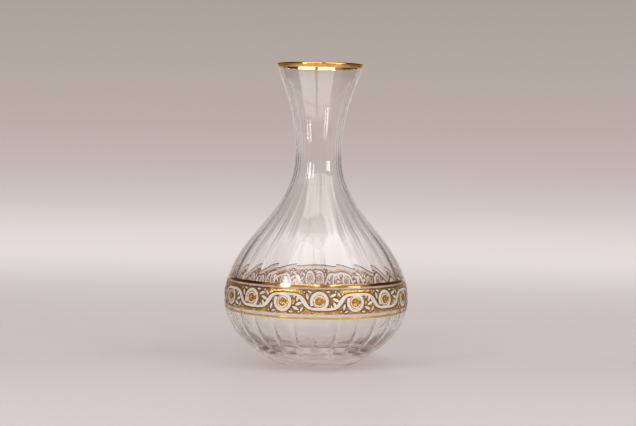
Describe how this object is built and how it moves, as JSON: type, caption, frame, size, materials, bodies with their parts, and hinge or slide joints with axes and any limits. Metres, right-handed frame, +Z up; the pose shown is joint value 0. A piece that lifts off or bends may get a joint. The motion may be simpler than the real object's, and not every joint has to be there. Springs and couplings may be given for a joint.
{
  "type": "carafe",
  "caption": "Open pear-shaped glass carafe with optic flutes inside, a flared gilded lip and a gilded scroll frieze round its widest part.",
  "frame": {"origin": "centre of the foot, on the surface that the carafe stands on", "axes": "+Z up along the carafe's own axis; a ridge between two flutes faces -Y, the front"},
  "size_m": [0.1536, 0.1536, 0.2499],
  "materials": {
    "glass": "clear polished lead glass",
    "gilding": "fired bright gold, lightly burnished"
  },
  "bodies": {
    "root": {"carafe_glass": "glass", "rim_gilding": "gilding", "upper_gold_line": "gilding", "lower_gold_line": "gilding", "frieze_upper_ground": "gilding", "frieze_lower_ground": "gilding", "rosette_01": "gilding", "rosette_02": "gilding", "rosette_03": "gilding", "rosette_04": "gilding", "rosette_05": "gilding", "rosette_06": "gilding", "rosette_07": "gilding", "rosette_08": "gilding", "rosette_09": "gilding", "rosette_10": "gilding", "rosette_11": "gilding", "rosette_12": "gilding", "rosette_13": "gilding", "rosette_14": "gilding", "rosette_15": "gilding", "rosette_16": "gilding"}
  },
  "joints": []
}
